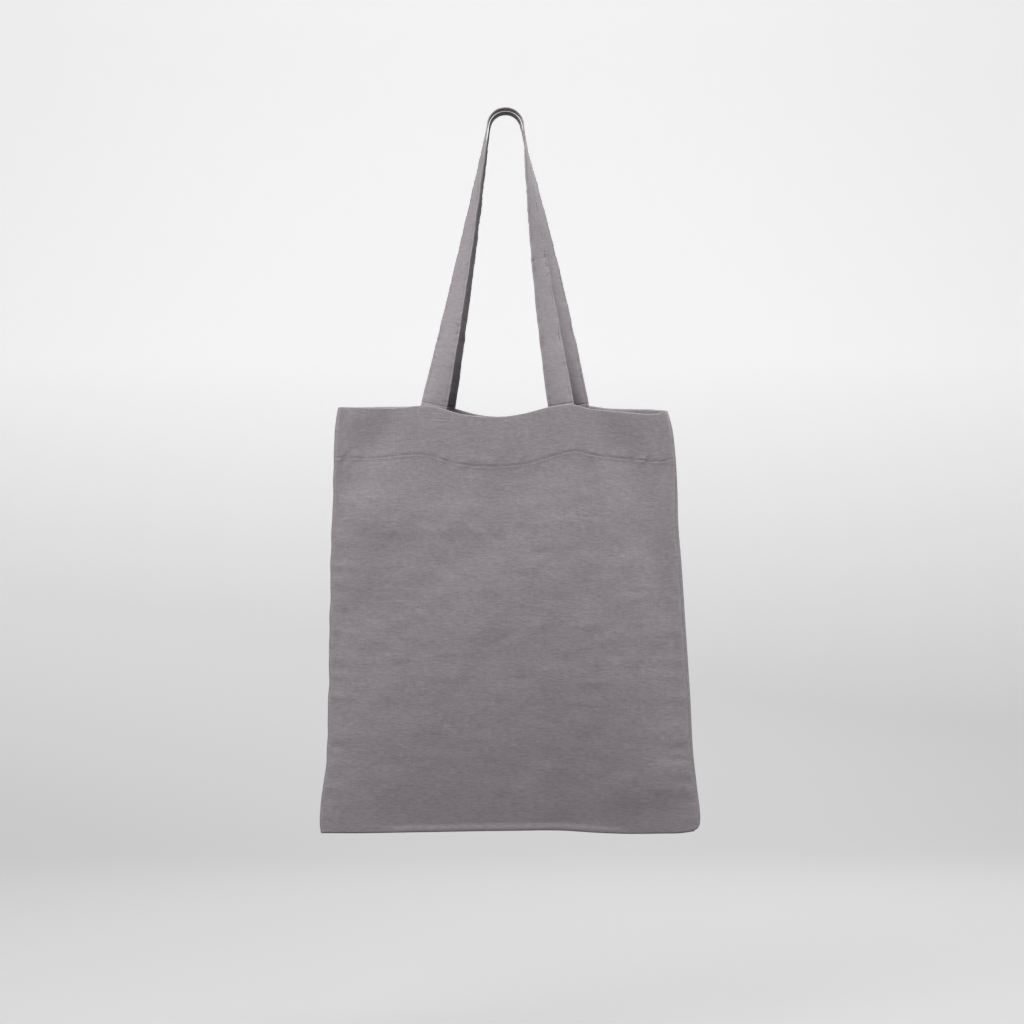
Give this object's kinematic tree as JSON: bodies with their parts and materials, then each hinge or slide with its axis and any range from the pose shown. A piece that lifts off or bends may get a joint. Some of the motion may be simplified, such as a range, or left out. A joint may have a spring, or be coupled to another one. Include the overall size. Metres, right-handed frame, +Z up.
{
  "type": "linen shopping bag",
  "caption": "Slack cloth shopping bag hanging by its straps: sewn front and back panels, a turned-in hem round the open mouth, and flat handles that twist to the top and fold down outside.",
  "frame": {"origin": "the seat: the underside of the back handle in the middle of its crown, midway between the two panels", "axes": "+Z up, +Y away from the viewer from the front panel to the back one, +X to the viewer's right"},
  "size_m": [0.3792, 0.0532, 0.7224],
  "materials": {
    "body_linen": "washed plain-weave linen, grey with a faint mauve cast, matt and slubby",
    "strap_linen": "the same linen folded into a flat strap and stitched along both edges",
    "thread": "matching sewing thread"
  },
  "bodies": {
    "bag": {"front_panel": "body_linen", "back_panel": "body_linen", "front_hem_facing": "body_linen", "back_hem_facing": "body_linen", "left_seam_allowance": "body_linen", "right_seam_allowance": "body_linen", "bottom_seam_allowance": "body_linen", "front_hem_stitching": "thread", "back_hem_stitching": "thread", "left_seam_stitching": "thread", "right_seam_stitching": "thread", "bottom_seam_stitching": "thread", "front_handle_left_tail": "strap_linen", "front_handle_right_tail": "strap_linen", "back_handle_left_tail": "strap_linen", "back_handle_right_tail": "strap_linen"},
    "front_handle": {"front_handle": "strap_linen", "front_handle_outer_stitching": "thread", "front_handle_inner_stitching": "thread"},
    "back_handle": {"back_handle": "strap_linen", "back_handle_outer_stitching": "thread", "back_handle_inner_stitching": "thread"}
  },
  "joints": [
    {"name": "front_handle_fold", "type": "hinge", "parent": "bag", "child": "front_handle", "pos_m": [0, -0.018, -0.29435], "axis": [1, 0, 0], "range_deg": [0, 172]},
    {"name": "back_handle_fold", "type": "hinge", "parent": "bag", "child": "back_handle", "pos_m": [0, 0.018, -0.29435], "axis": [-1, 0, 0], "range_deg": [0, 172]}
  ]
}
